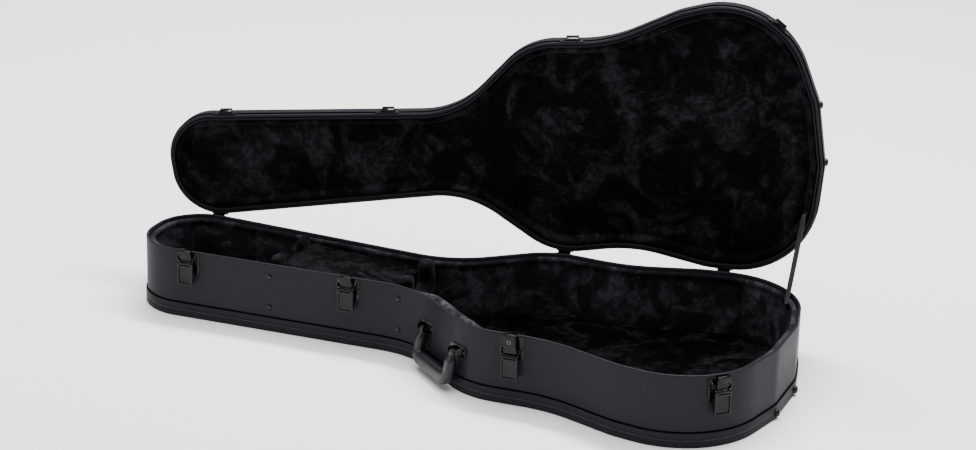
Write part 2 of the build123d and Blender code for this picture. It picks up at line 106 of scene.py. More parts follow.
# ---- settings ----------------------------------------------------------------------
class CaseSizes(bpy.types.PropertyGroup):
    rim_round: FloatProperty(
        name="Rim rounding", description="Radius of the covered rims",
        default=2.4 * MM, min=0.5 * MM, max=2.45 * MM, unit="LENGTH")
    band_proud: FloatProperty(
        name="Band thickness", description="How far the stitched bands stand out",
        default=2.0 * MM, unit="LENGTH")
    stitch_pitch: FloatProperty(
        name="Stitch pitch", description="Distance from stitch to stitch",
        default=4.4 * MM, unit="LENGTH")
    plush_swell: FloatProperty(
        name="Plush swell", description="How far the padding swells between its seams",
        default=2.6 * MM, unit="LENGTH")
    metal_edge: FloatProperty(
        name="Metal edge", description="Width of the worn edges of the metal parts",
        default=0.45 * MM, unit="LENGTH")


class CaseColours(bpy.types.PropertyGroup):
    vinyl: FloatVectorProperty(
        name="Vinyl", description="Textured covering of the case", subtype="COLOR",
        default=(0.0195, 0.0184, 0.0238), min=0, max=1)
    plush: FloatVectorProperty(
        name="Plush", description="Lining", subtype="COLOR",
        default=(0.0016, 0.0016, 0.0020), min=0, max=1)
    nap: FloatVectorProperty(
        name="Nap", description="Lining where the pile is brushed", subtype="COLOR",
        default=(0.0085, 0.0085, 0.0100), min=0, max=1)
    metal: FloatVectorProperty(
        name="Hardware", description="Dark plated metal", subtype="COLOR",
        default=(0.13, 0.128, 0.14), min=0, max=1)
    moulding: FloatVectorProperty(
        name="Handle", description="Moulded handle", subtype="COLOR",
        default=(0.0075, 0.0074, 0.0095), min=0, max=1)


def sizes():
    return bpy.context.scene.guitar_case_sizes


def colours():
    return bpy.context.scene.guitar_case_colours


# ---- plan outline --------------------------------------------------------------------
def half_outline():
    """Closely spaced places and outward directions from the head end to the tail."""
    corners = [Vector((HEAD_END + a * MM, w * MM)) for a, w, _ in OUTLINE_CORNERS]
    ends = [Vector((HEAD_END, 0))] + corners + [Vector((HEAD_END + LENGTH, 0))]
    fine = 0.5 * MM
    places = []
    start = ends[0]
    for index, (_, _, radius) in enumerate(OUTLINE_CORNERS, start=1):
        before = (ends[index] - ends[index - 1]).normalized()
        after = (ends[index + 1] - ends[index]).normalized()
        turn = -before.angle_signed(after)
        reach = radius * MM * math.tan(abs(turn) / 2)
        arc_start, arc_end = ends[index] - before * reach, ends[index] + after * reach
        out = Vector((-before.y, before.x))
        steps = max(1, int((arc_start - start).length / fine))
        places += [(start.lerp(arc_start, k / steps), out) for k in range(steps)]
        middle = arc_start + out * radius * MM * (1 if turn > 0 else -1)
        steps = max(2, int(radius * MM * abs(turn) / fine))
        for k in range(steps):
            spoke = Matrix.Rotation(turn * k / steps, 2) @ (arc_start - middle)
            way = spoke.normalized() * (-1 if turn > 0 else 1)
            places.append((middle + spoke, way))
        start = arc_end
    steps = max(1, int((ends[-1] - start).length / fine))
    out = Vector((1, 0))
    places += [(start.lerp(ends[-1], k / steps), out) for k in range(steps + 1)]
    return places


HALF_OUTLINE = half_outline()


def stations(step):
    """Evenly spaced (place, outward direction, distance run) all round the plan."""
    back = [(Vector((p.x, -p.y)), Vector((n.x, -n.y))) for p, n in reversed(HALF_OUTLINE)]
    loop = HALF_OUTLINE + back[1:]
    runs = [0.0]
    for (a, _), (b, _) in zip(loop, loop[1:]):
        runs.append(runs[-1] + (b - a).length)
    count = round(runs[-1] / step)
    found = []
    for k in range(count):
        run = runs[-1] * k / count
        i = max(1, bisect_left(runs, run))
        share = (run - runs[i - 1]) / max(runs[i] - runs[i - 1], 1e-9)
        place = loop[i - 1][0].lerp(loop[i][0], share)
        out = loop[i - 1][1].lerp(loop[i][1], share).normalized()
        found.append((place, out, run))
    return found, runs[-1]


def half_width(inset):
    """Function from X to half the width of the plan, moved in by inset."""
    places = [p - n * inset for p, n in HALF_OUTLINE]
    xs, ys = [p.x for p in places], [p.y for p in places]

    def at(x):
        i = min(max(1, bisect_left(xs, x)), len(xs) - 1)
        span = xs[i] - xs[i - 1]
        share = (x - xs[i - 1]) / span if span > 1e-7 else 1.0
        return ys[i - 1] + (ys[i] - ys[i - 1]) * min(max(share, 0.0), 1.0)

    return at, xs[0], xs[-1]


def ramp(value, low, high):
    """Smooth step from 0 at low to 1 at high."""
    t = min(max((value - low) / (high - low), 0.0), 1.0)
    return t * t * (3 - 2 * t)


# ---- modelling helpers -----------------------------------------------------------------
def deselect():
    if bpy.context.object and bpy.context.object.mode != "OBJECT":
        bpy.ops.object.mode_set(mode="OBJECT")
    bpy.ops.object.select_all(action="DESELECT")


def take(piece):
    """Make one piece the selected and active one."""
    deselect()
    piece.select_set(True)
    bpy.context.view_layer.objects.active = piece


def in_edit(piece, *steps):
    """Run edit-mode operators on the whole of a piece."""
    take(piece)
    bpy.ops.object.mode_set(mode="EDIT")
    bpy.ops.mesh.select_mode(type="VERT")
    bpy.ops.mesh.select_all(action="SELECT")
    for step in steps:
        step()
    bpy.ops.object.mode_set(mode="OBJECT")


def merge(distance=0.01 * MM):
    bpy.ops.mesh.remove_doubles(threshold=distance)


def outward():
    bpy.ops.mesh.normals_make_consistent(inside=False)


def modify(piece, kind, **values):
    """Add a modifier with its values and apply it."""
    take(piece)
    modifier = piece.modifiers.new(kind.title(), kind)
    for key, value in values.items():
        setattr(modifier, key, value)
    bpy.ops.object.modifier_apply(modifier=modifier.name)


def smooth(piece, degrees=40):
    take(piece)
    bpy.ops.object.shade_smooth_by_angle(angle=math.radians(degrees))


def grid(name, columns, rows):
    """Flat grid with each vertex's column and row."""
    deselect()
    bpy.ops.mesh.primitive_grid_add(x_subdivisions=columns, y_subdivisions=rows, size=1)
    piece = bpy.context.object
    piece.name = piece.data.name = name
    cells = [(round((v.co.x + 0.5) * columns), round((v.co.y + 0.5) * rows))
             for v in piece.data.vertices]
    return piece, cells


def lay_out(piece, cells, place, chart):
    """Move a grid's vertices to their places and give it its UV map in metres."""
    mesh = piece.data
    for vertex, cell in zip(mesh.vertices, cells):
        vertex.co = place(*cell)
    uv = mesh.uv_layers.active.data
    for loop in mesh.loops:
        uv[loop.index].uv = chart(*cells[loop.vertex_index])


def band(name, step, profile, lid=False):
    """Closed ring round the plan; profile(place, run) gives (out, height) points."""
    places, total = stations(step)
    sections = [profile(place, run) for place, _, run in places]
    rows = len(sections[0])
    columns = len(places)
    piece, cells = grid(name, columns, rows)
    lengths = [0.0]
    for a, b in zip(sections[0], sections[0][1:] + sections[0][:1]):
        lengths.append(lengths[-1] + math.dist(a, b))

    def place(i, j):
        spot, out, _ = places[i % columns]
        distance, height = sections[i % columns][j % rows]
        return (*(spot + out * distance), height)

    def chart(i, j):
        return (total if i == columns else places[i][2], lengths[j])

    lay_out(piece, cells, place, chart)
    in_edit(piece, merge, outward)
    if lid:
        piece.data.transform(LID_OPENING)
    return piece


def arc(centre, radius, first, last, count):
    """Points on an arc in the (out, height) plane, angles in degrees."""
    spread = [math.radians(first + (last - first) * k / count) for k in range(count + 1)]
    return [(centre[0] + radius * math.cos(a), centre[1] + radius * math.sin(a))
            for a in spread]


def copy_node(node, name):
    """Own copy of a frame node's mesh, merged, with flat faces in one piece."""
    source = bpy.data.objects[node]
    piece = source.copy()
    piece.data = source.data.copy()
    piece.name = piece.data.name = name
    for key in list(piece.keys()):
        del piece[key]
    bpy.context.scene.collection.objects.link(piece)
    piece.hide_render = False
    in_edit(piece, merge,
            lambda: bpy.ops.mesh.dissolve_limited(angle_limit=math.radians(3)))
    return piece


def finish_piece(piece, material, body, slot, *nodes):
    """Material, body and the frame nodes that a piece stands for; the slot argument is not used.
    """
    piece.data.materials.clear()
    piece.data.materials.append(material)
    if body:
        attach(piece, body)
    if nodes:
        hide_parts(*nodes)


def ripple(point, size, seed):
    """Smooth noise from -1 to 1 with the given size of lump."""
    return noise.noise(Vector(point) / size + Vector((seed * 7.3, seed * 3.1, seed)))


# ---- shader node groups ------------------------------------------------------------------
def node(tree, kind, inputs=(), **values):
    """Add a node; inputs maps socket names or numbers to values or other sockets."""
    made = tree.nodes.new(kind)
    for key, value in values.items():
        setattr(made, key, value)
    for key, value in dict(inputs).items():
        if isinstance(value, bpy.types.NodeSocket):
            tree.links.new(value, made.inputs[key])
        else:
            made.inputs[key].default_value = value
    return made


def maths(tree, operation, a, b=0.0, clamp=False):
    return node(tree, "ShaderNodeMath", {0: a, 1: b}, operation=operation,
                use_clamp=clamp).outputs[0]


def stretch(tree, value, low, high, to_low=0.0, to_high=1.0):
    made = node(tree, "ShaderNodeMapRange",
                {0: value, 1: low, 2: high, 3: to_low, 4: to_high},
                interpolation_type="SMOOTHSTEP")
    return made.outputs[0]


def clouds(tree, place, scale, detail, rough=0.5, distortion=0.0):
    return node(tree, "ShaderNodeTexNoise",
                {"Vector": place, "Scale": scale, "Detail": detail, "Roughness": rough,
                 "Distortion": distortion}).outputs


def group(name, inputs, outputs):
    """Empty shader node group with named sockets, its tree and its input node."""
    tree = bpy.data.node_groups.new(name, "ShaderNodeTree")
    for label, kind, default in inputs:
        socket = tree.interface.new_socket(label, in_out="INPUT", socket_type=kind)
        if default is not None:
            socket.default_value = default
    for label, kind in outputs:
        tree.interface.new_socket(label, in_out="OUTPUT", socket_type=kind)
    return tree, tree.nodes.new("NodeGroupInput").outputs


def put_out(tree, results):
    node(tree, "NodeGroupOutput", results)


FLOAT, VECTOR = "NodeSocketFloat", "NodeSocketVector"


def pebble_grain():
    """Embossed grain of covered board: pebbles, their creases and fine pores."""
    tree, given = group("Pebble grain", [
        ("Vector", VECTOR, None), ("Scale", FLOAT, 900.0), ("Pores", FLOAT, 0.3)],
        [("Height", FLOAT), ("Creases", FLOAT)])
    warp = clouds(tree, given[0], 160.0, 2.0)
    moved = node(tree, "ShaderNodeVectorMath",
                 {0: warp["Color"], 1: (0.0016, 0.0016, 0.0016)}, operation="MULTIPLY")
    place = node(tree, "ShaderNodeVectorMath", {0: given[0], 1: moved.outputs[0]})
    cells = node(tree, "ShaderNodeTexVoronoi", {"Vector": place.outputs[0], "Scale": given[1]},
                 feature="DISTANCE_TO_EDGE")
    pebbles = stretch(tree, cells.outputs[0], 0.0, 0.22)
    pores = clouds(tree, given[0], 2600.0, 3.0)
    fine = maths(tree, "MULTIPLY", pores[0], given[2])
    creases = maths(tree, "SUBTRACT", 1.0, pebbles)
    put_out(tree, {0: maths(tree, "ADD", pebbles, fine), 1: creases})
    return tree


def mottle():
    """Slow change of tone over a surface, with a finer change laid on it."""
    tree, given = group("Mottle", [
        ("Vector", VECTOR, None), ("Scale", FLOAT, 9.0), ("Contrast", FLOAT, 0.5)],
        [("Value", FLOAT)])
    slow = clouds(tree, given[0], given[1], 3.0, 0.55)
    fine = clouds(tree, given[0], maths(tree, "MULTIPLY", given[1], 6.0), 4.0, 0.6)
    both = maths(tree, "ADD", maths(tree, "MULTIPLY", slow[0], 0.7),
                 maths(tree, "MULTIPLY", fine[0], 0.3))
    centred = maths(tree, "MULTIPLY", maths(tree, "SUBTRACT", both, 0.5), given[2])
    put_out(tree, {0: maths(tree, "ADD", centred, 0.5, clamp=True)})
    return tree


def pile():
    """Short plush pile: brushed patches, tufts and fibres."""
    tree, given = group("Plush pile", [
        ("Vector", VECTOR, None), ("Patches", FLOAT, 14.0), ("Tufts", FLOAT, 110.0)],
        [("Brushed", FLOAT), ("Height", FLOAT)])
    patches = clouds(tree, given[0], given[1], 5.0, 0.62, 0.9)
    tufts = clouds(tree, given[0], given[2], 4.0, 0.7, 0.5)
    fibres = clouds(tree, given[0], 1500.0, 2.0, 0.7)
    large = stretch(tree, patches[0], 0.43, 0.62, 0.12)
    small = stretch(tree, tufts[0], 0.42, 0.62)
    grain = stretch(tree, fibres[0], 0.3, 0.7)
    share = maths(tree, "ADD", maths(tree, "MULTIPLY", small, 0.6),
                  maths(tree, "MULTIPLY", grain, 0.4))
    lit = maths(tree, "MULTIPLY", large, maths(tree, "ADD", share, 0.12))
    height = maths(tree, "ADD", tufts[0], maths(tree, "MULTIPLY", fibres[0], 0.35))
    put_out(tree, {0: lit, 1: height})
    return tree


def weave():
    """Plain weave over a UV map in metres."""
    tree, given = group("Plain weave", [
        ("UV", VECTOR, None), ("Pitch", FLOAT, 0.0009)],
        [("Height", FLOAT), ("Gaps", FLOAT)])
    parts = node(tree, "ShaderNodeSeparateXYZ", {0: given[0]})
    waves = []
    for axis in (0, 1):
        turns = maths(tree, "DIVIDE", parts.outputs[axis], given[1])
        waves.append(maths(tree, "SINE", maths(tree, "MULTIPLY", turns, math.tau)))
    height = maths(tree, "MULTIPLY", waves[0], waves[1])
    gaps = stretch(tree, height, -0.2, -0.9)
    put_out(tree, {0: height, 1: gaps})
    return tree


def plating():
    """Plated metal: long polishing lines, smears and small rubbed spots."""
    tree, given = group("Plating", [
        ("Vector", VECTOR, None), ("Rub", FLOAT, 0.5)],
        [("Smear", FLOAT), ("Rubbed", FLOAT), ("Height", FLOAT)])
    long = node(tree, "ShaderNodeMapping",
                {"Vector": given[0], "Scale": (900.0, 900.0, 60.0)})
    lines = clouds(tree, long.outputs[0], 1.0, 3.0)
    smear = clouds(tree, given[0], 120.0, 3.0)
    spots = clouds(tree, given[0], 420.0, 4.0, 0.7)
    rubbed = maths(tree, "MULTIPLY", stretch(tree, spots[0], 0.56, 0.72), given[1])
    put_out(tree, {0: smear[0], 1: rubbed, 2: lines[0]})
    return tree


GROUPS = {}


def use_group(tree, make, place, **inputs):
    """Place a shared node group over coordinates, building it the first time."""
    if make not in GROUPS:
        GROUPS[make] = make()
    return node(tree, "ShaderNodeGroup", {0: place, **inputs},
                node_tree=GROUPS[make]).outputs


# ---- materials ---------------------------------------------------------------------------
def shaded(name, constants):
    """Material with a Principled shader, its tree, shader and texture coordinates."""
    made = bpy.data.materials.new(name)
    made.use_nodes = True
    tree = made.node_tree
    tree.nodes.clear()
    shader = node(tree, "ShaderNodeBsdfPrincipled", constants)
    node(tree, "ShaderNodeOutputMaterial", {0: shader.outputs[0]})
    return made, tree, shader, node(tree, "ShaderNodeTexCoord").outputs


def blend_colours(tree, share, first, second):
    made = node(tree, "ShaderNodeMix", {0: share, 6: (*first, 1), 7: (*second, 1)},
                data_type="RGBA")
    return made.outputs[2]


def raise_surface(tree, shader, height, strength, distance):
    bump = node(tree, "ShaderNodeBump",
                {"Height": height, "Strength": strength, "Distance": distance})
    tree.links.new(bump.outputs[0], shader.inputs["Normal"])


def lighter(colour, factor):
    return tuple(min(c * factor, 1.0) for c in colour)


def vinyl(name, factor, grain):
    made, tree, shader, place = shaded(name, {
        "Specular IOR Level": 0.02, "Coat Weight": 0.08, "Coat Roughness": 0.24})
    tone = use_group(tree, mottle, place["Object"], Scale=7.0, Contrast=0.9)
    skin = use_group(tree, pebble_grain, place["Object"], Scale=grain, Pores=0.35)
    base = lighter(colours().vinyl, factor)
    colour = blend_colours(tree, tone[0], lighter(base, 0.82), lighter(base, 1.2))
    # this mix paints the grain's creases darker: painted shade in the creases
    worn = node(tree, "ShaderNodeMix", {0: skin["Creases"], 6: colour,
                                        7: (*lighter(base, 0.6), 1)}, data_type="RGBA")
    tree.links.new(worn.outputs[2], shader.inputs["Base Color"])
    tree.links.new(stretch(tree, tone[0], 0.2, 0.8, 0.36, 0.5), shader.inputs["Roughness"])
    raise_surface(tree, shader, skin["Height"], 0.35, 0.12 * MM)
    return made


def plush(name, dark, bright, patches, tufts, strength):
    made, tree, shader, place = shaded(name, {
        "Roughness": 0.95, "Specular IOR Level": 0.02, "Sheen Weight": strength,
        "Sheen Roughness": 0.45, "Sheen Tint": (0.32, 0.32, 0.36, 1)})
    hair = use_group(tree, pile, place["Object"], Patches=patches, Tufts=tufts)
    colour = blend_colours(tree, hair["Brushed"], dark, bright)
    tree.links.new(colour, shader.inputs["Base Color"])
    raise_surface(tree, shader, hair["Height"], 0.8, 1.6 * MM)
    return made


def metal(name, colour, rough, rub):
    made, tree, shader, place = shaded(name, {"Metallic": 0.85, "Coat Weight": 0.1,
                                              "Coat Roughness": 0.08})
    plate = use_group(tree, plating, place["Object"], Rub=rub)
    tree.links.new(blend_colours(tree, plate["Rubbed"], colour, lighter(colour, 1.9)),
                   shader.inputs["Base Color"])
    tree.links.new(stretch(tree, plate["Smear"], 0.3, 0.7, rough * 0.8, rough * 1.3),
                   shader.inputs["Roughness"])
    raise_surface(tree, shader, plate["Height"], 0.05, 0.02 * MM)
    return made


def moulded(name, colour):
    made, tree, shader, place = shaded(name, {"Specular IOR Level": 0.28})
    tone = use_group(tree, mottle, place["Object"], Scale=40.0, Contrast=0.8)
    skin = use_group(tree, pebble_grain, place["Object"], Scale=1500.0, Pores=0.5)
    tree.links.new(blend_colours(tree, tone[0], lighter(colour, 0.85), lighter(colour, 1.2)),
                   shader.inputs["Base Color"])
    tree.links.new(stretch(tree, tone[0], 0.2, 0.8, 0.3, 0.42), shader.inputs["Roughness"])
    raise_surface(tree, shader, skin["Height"], 0.15, 0.06 * MM)
    return made


def webbing(name, colour):
    made, tree, shader, place = shaded(name, {
        "Roughness": 0.8, "Specular IOR Level": 0.3, "Sheen Weight": 0.3,
        "Sheen Roughness": 0.4})
    cloth = use_group(tree, weave, place["UV"], Pitch=1.1 * MM)
    # darker where the weave dips between threads: painted shade in the weave's gaps
    tree.links.new(blend_colours(tree, cloth["Gaps"], lighter(colour, 1.2),
                                 lighter(colour, 0.4)), shader.inputs["Base Color"])
    raise_surface(tree, shader, cloth["Height"], 0.6, 0.25 * MM)
    return made


def thread(name, colour):
    made, tree, shader, place = shaded(name, {
        "Roughness": 0.6, "Specular IOR Level": 0.4, "Sheen Weight": 0.3})
    tone = use_group(tree, mottle, place["Object"], Scale=400.0, Contrast=1.0)
    tree.links.new(blend_colours(tree, tone[0], lighter(colour, 0.7), lighter(colour, 1.3)),
                   shader.inputs["Base Color"])
    return made


FINISHES = {}


def finish(name):
    """Material of a named finish, made the first time it is used."""
    if name not in FINISHES:
        c = colours()
        makers = {
            "shell vinyl": lambda: vinyl(name, 1.0, 800.0),
            "band vinyl": lambda: vinyl(name, 0.92, 800.0),
            "rim vinyl": lambda: vinyl(name, 0.7, 900.0),
            "plush": lambda: plush(name, lighter(c.plush, 0.9), lighter(c.nap, 2.1),
                                   13.0, 120.0, 0.10),
            # same lining painted much lighter on the side padding: painted light
            "side plush painted lighter": lambda: plush(name, lighter(c.plush, 3.6), lighter(c.nap, 6.6),
                                        16.0, 75.0, 0.12),
            # same lining painted much darker on the floor: painted shade
            "floor plush painted darker": lambda: plush(name, lighter(c.plush, 0.2), lighter(c.nap, 1.6),
                                         14.0, 75.0, 0.0),
            "lid plush": lambda: plush(name, lighter(c.plush, 0.6), lighter(c.nap, 2.3),
                                       14.0, 75.0, 0.05),
            "compartment plush": lambda: plush(name, lighter(c.plush, 0.3),
                                               lighter(c.nap, 1.1), 30.0, 110.0, 0.02),
            "dark metal": lambda: metal(name, lighter(c.metal, 0.05), 0.18, 0.5),
            "stud metal": lambda: metal(name, lighter(c.metal, 0.1), 0.16, 0.2),
            "lock metal": lambda: metal(name, lighter(c.metal, 0.3), 0.18, 0.3),
            "pin steel": lambda: metal(name, lighter(c.metal, 0.25), 0.2, 0.3),
            "handle moulding": lambda: moulded(name, c.moulding),
            "tab leather": lambda: moulded(name, lighter(c.moulding, 0.8)),
            "webbing": lambda: webbing(name, (0.011, 0.011, 0.013)),
            "thread": lambda: thread(name, (0.05, 0.05, 0.055)),
            # near-black cord at each band's seam: painted shade of the groove there
            "shade_cord": lambda: plush(name, lighter(c.plush, 0.2), lighter(c.plush, 0.4),
                                  13.0, 120.0, 0.0),
        }
        FINISHES[name] = makers[name]()
    return FINISHES[name]


def finish_node(name, *nodes):
    """Give frame nodes that stay in view their finish."""
    for label in nodes:
        bpy.data.objects[label].material_slots[0].material = finish(name)


# ---- shell ---------------------------------------------------------------------------------
WALL = 5 * MM
WALL_FOOT = 4 * MM                       # the covered wall starts behind the band
RING_STEP = 4 * MM                       # spacing of the sections round the plan
STITCH_GROOVE = 0.78                     # how far the band's groove stands out, of its thickness
# Near-black cord beside each band, painted shade of the seam's groove
SHADE_CORD_OUT, SHADE_CORD_RADIUS = 0.6 * MM, 1.2 * MM
SHADE_CORD_GAP = 0.9 * MM                      # from the band's edge to the middle of the near-black cord that paints the seam's shade
TONGUE_OUT, TONGUE_IN = -5.8 * MM, -8.8 * MM
TONGUE_LOW = LID_RIM - 1.2 * MM


def wall_profile(rim, foot):
    """Covered wall with a fully rounded rim, as (out, height) points."""
    way = 1 if rim > foot else -1
    r = sizes().rim_round
    outer = [(0, foot + (rim - way * r - foot) * k / 4) for k in range(4)]
    front = arc((-r, 0), r, 0, 90, 6)
    back = arc((r - WALL, 0), r, 90, 180, 6)
    edge = [(out, rim - way * (r - rise)) for out, rise in front + back]
    inner = [(-WALL, rim - way * 3 * r), (-WALL, foot)]
    return outer + edge + inner


def band_profile(edge, way, depth):
    """Stitched band: rounded edges and a groove where its stitches sit."""
    middle = depth / MM / 2
    end = depth / MM
    points = [(0.0, 0.0), (0.5, 0.0), (0.8, 0.5), (0.97, 1.3), (1.0, 3.0),
              (1.02, middle - 3.0), (0.98, middle - 1.6), (0.84, middle - 0.7),
              (STITCH_GROOVE, middle), (0.84, middle + 0.7), (0.98, middle + 1.6),
              (1.02, middle + 3.0), (1.0, end - 1.5), (0.9, end - 0.5), (0.6, end), (0, end)]
    return [(out * sizes().band_proud, edge + way * rise * MM) for out, rise in points]


def cover(node_name, section, coat, slot, lid=False):
    """Ring of one section round the plan that stands for a frame node."""
    piece = band(f"{node_name}_cover", RING_STEP, lambda place, run: section, lid)
    smooth(piece, 50)
    finish_piece(piece, finish(coat), "lid" if lid else "base", slot, node_name)


def stitches(name, height, lid=False):
    """Row of short thread stitches in the groove of a band."""
    deselect()
    bpy.ops.mesh.primitive_uv_sphere_add(segments=6, ring_count=4, radius=1)
    piece = bpy.context.object
    piece.name = piece.data.name = name
    one = [v.co.copy() for v in piece.data.vertices]
    faces = [tuple(p.vertices) for p in piece.data.polygons]
    places, _ = stations(sizes().stitch_pitch)
    half, thick = 1.45 * MM, 0.42 * MM
    out = STITCH_GROOVE * sizes().band_proud + 0.2 * MM
    points, cells = [], []
    for spot, way, _ in places:
        run = Vector((-way.y, way.x))
        cells += [tuple(i + len(points) for i in face) for face in faces]
        for v in one:
            flat = spot + run * v.x * half + way * (out + v.y * thick)
            points.append((*flat, height + v.z * thick))
    mesh = bpy.data.meshes.new(name)
    mesh.from_pydata(points, [], cells)
    piece.data = mesh
    in_edit(piece, outward)
    if lid:
        mesh.transform(LID_OPENING)
    smooth(piece, 80)
    finish_piece(piece, finish("thread"), "lid" if lid else "base", "band_vinyl")


def shade_cord(name, height, lid=False):
    """Thin near-black cord beside a band: painted shade of the groove where the band meets the
    wall.
    """
    cord = arc((SHADE_CORD_OUT, height), SHADE_CORD_RADIUS, 0, 315, 7)
    piece = band(name, RING_STEP, lambda place, run: cord, lid)
    smooth(piece, 80)
    finish_piece(piece, finish("shade_cord"), "lid" if lid else "base", "band_vinyl")


class CASE_OT_base_shell(bpy.types.Operator):
    """Cover the base: side wall with its rounded rim, stitched band and a near-black cord of
    painted shade at its seam
    """
    bl_idname = "guitar_case.base_shell"
    bl_label = "Base shell"

    def execute(self, context):
        cover("base_wall", wall_profile(BASE_RIM, WALL_FOOT), "shell vinyl", "shell_vinyl")
        cover("base_band", band_profile(0.0, 1, BASE_BAND), "band vinyl", "band_vinyl")
        stitches("base_band_stitches", BASE_BAND / 2)
        shade_cord("base_band_shade_cord", BASE_BAND + SHADE_CORD_GAP)
        finish_node("shell vinyl", "base_bottom")
        return {"FINISHED"}


class CASE_OT_lid_shell(bpy.types.Operator):
    """Cover the lid: side wall, stitched band, a near-black cord of painted shade at its seam
    and the tongue inside the rim
    """
    bl_idname = "guitar_case.lid_shell"
    bl_label = "Lid shell"

    def execute(self, context):
        cover("lid_wall", wall_profile(LID_RIM, LID_BOARD), "shell vinyl", "shell_vinyl",
              lid=True)
        cover("lid_band", band_profile(LID_TOP, -1, LID_BAND), "band vinyl", "band_vinyl",
              lid=True)
        stitches("lid_band_stitches", LID_TOP - LID_BAND / 2, lid=True)
        shade_cord("lid_band_shade_cord", LID_TOP - LID_BAND - SHADE_CORD_GAP, lid=True)
        middle, r = (TONGUE_OUT + TONGUE_IN) / 2, (TONGUE_OUT - TONGUE_IN) / 2
        tip = arc((middle, TONGUE_LOW + r), r, 0, -180, 8)
        tongue = [(TONGUE_OUT, LID_BOARD)] + tip + [(TONGUE_IN, LID_BOARD)]
        cover("lid_tongue", tongue, "rim vinyl", "shell_vinyl", lid=True)
        finish_node("shell vinyl", "lid_board")
        return {"FINISHED"}


# ---- lining --------------------------------------------------------------------------------
PADDING_STEP = 3.2 * MM                  # spacing of the sections of a padded ring
SHEET_STEP, SHEET_ROWS = 4.5 * MM, 90    # cells of a plush panel
PAD_VOXEL = 4 * MM                       # cells of a stuffed pad
# Seams of the back and front side padding, distances from the head end
SIDE_SEAMS = [60, 150, 254, 300, 380, 470, 561, 594, 649, 700, 790, 808, 845, 965, 1040]
SHOULDER = (505, 545, 625, 675)     # the front padding is thick here: from, full, to, end
HOLLOW = (246, 258, 464, 476)       # and thin here, where the compartment lid turns
LID_LINING_OUT = TONGUE_IN - 0.2 * MM


def seam_pull(distance, width):
    """1 on a seam, falling to 0 beside it."""
    return math.exp(-(distance / width) ** 2)


def side_section(place, run):
    """Padding of a side wall: roll under the rim, seam, swelling face."""
    along = (place.x - HEAD_END) / MM
    nearest = min(abs(along - seam) for seam in SIDE_SEAMS)
    pull = seam_pull(nearest, 5.0)
    front = ramp(-place.y, 0.0, 10 * MM)
    full = front * ramp(along, *SHOULDER[:2]) * (1 - ramp(along, *SHOULDER[2:]))
    thin = front * ramp(along, *HOLLOW[:2]) * (1 - ramp(along, *HOLLOW[2:]))
    swell = sizes().plush_swell * (1 - pull)
    lump = 1.2 * MM * ripple((run, 0, 0), 45 * MM, 3)
    r = (4.3 + 5.0 * full - 1.3 * thin) * MM + 0.35 * lump
    roll_out = (-10.4 - 6.2 * full + 1.9 * thin) * MM
    roll_height = (108.0 - 2.0 * full - 1.5 * thin) * MM
    roll = arc((roll_out, roll_height), r, 40, 215, 9)
    face = -(13.0 + 6.0 * full) * MM + 1.6 * MM * pull - lump
    top, foot = roll_height - 1.2 * r, FLOOR_TOP - 1 * MM
    inner = []
    for k in range(11):
        t = k / 10
        bulge = math.sin(math.pi * t) ** 0.6
        wave = 0.7 * MM * ripple((run, t * 0.1, 0), 18 * MM, 5)
        inner.append((face + 1.6 * MM - swell * bulge - wave * bulge,
                      top + (foot - top) * t))
    back = [(-5.3 * MM, foot), (-5.3 * MM, 60 * MM), (-5.3 * MM, 102 * MM),
            (-5.5 * MM, 107 * MM)]
    return inner + back + roll


def spread_sheet(name, inset, thickness, up, surface):
    """Panel over the plan, moved in by inset, with surface(x, y, edge) heights.

    Its face looks up for up=1 and down for up=-1, with its thickness behind it.
    """
    half, low, high = half_width(inset)
    columns, rows = round((high - low) / SHEET_STEP), SHEET_ROWS
    bunch = 0.92                         # rows crowd towards the sides
    piece, cells = grid(name, columns, rows)

    def spot(i, j):
        t = i / columns
        x = low + (high - low) * (0.7 * t + 0.3 * (1 - math.cos(math.pi * t)) / 2)
        v = math.sin(math.pi / 2 * (2 * j / rows - 1) * bunch) / math.sin(math.pi / 2 * bunch)
        y = v * half(x)
        edge = min(half(x) - abs(y), x - low, high - x)
        return x, y, edge

    def place(i, j):
        x, y, edge = spot(i, j)
        return (x, y, surface(x, y, edge))

    def chart(i, j):
        return spot(i, j)[:2]

    lay_out(piece, cells, place, chart)
    in_edit(piece, outward)
    if piece.data.polygons[0].normal.z * up < 0:
        in_edit(piece, lambda: bpy.ops.mesh.flip_normals())
    modify(piece, "SOLIDIFY", thickness=thickness, offset=-1)
    return piece


def hump(x, y, middle, spread):
    dx, dy = (x - middle[0]) / spread[0], (y - middle[1]) / spread[1]
    return math.exp(-dx * dx - dy * dy)


class CASE_OT_base_lining(bpy.types.Operator):
    """Line the base: padded side walls and the plush floor"""
    bl_idname = "guitar_case.base_lining"
    bl_label = "Base lining"

    def execute(self, context):
        sides = band("base_side_padding", PADDING_STEP, side_section)
        smooth(sides, 80)
        # side padding gets the copy of the lining with light painted in
        finish_piece(sides, finish("side plush painted lighter"), "base", "plush", "base_side_lining")

        def surface(x, y, edge):
            lift = 1.4 * MM * ripple((x, y, 0), 90 * MM, 1)
            lift += 0.6 * MM * ripple((x, y, 0), 24 * MM, 2)
            lift += 7 * MM * hump(x, y, (120 * MM, 20 * MM), (75 * MM, 60 * MM))
            return FLOOR_TOP - 0.8 * MM + lift - 3.5 * MM * math.exp(-edge / (7 * MM))

        floor = spread_sheet("base_floor_padding", 5.6 * MM, 3 * MM, 1, surface)
        smooth(floor, 80)
        # floor gets the copy of the lining with shade painted in
        finish_piece(floor, finish("floor plush painted darker"), "base", "plush", "base_floor_lining")
        return {"FINISHED"}


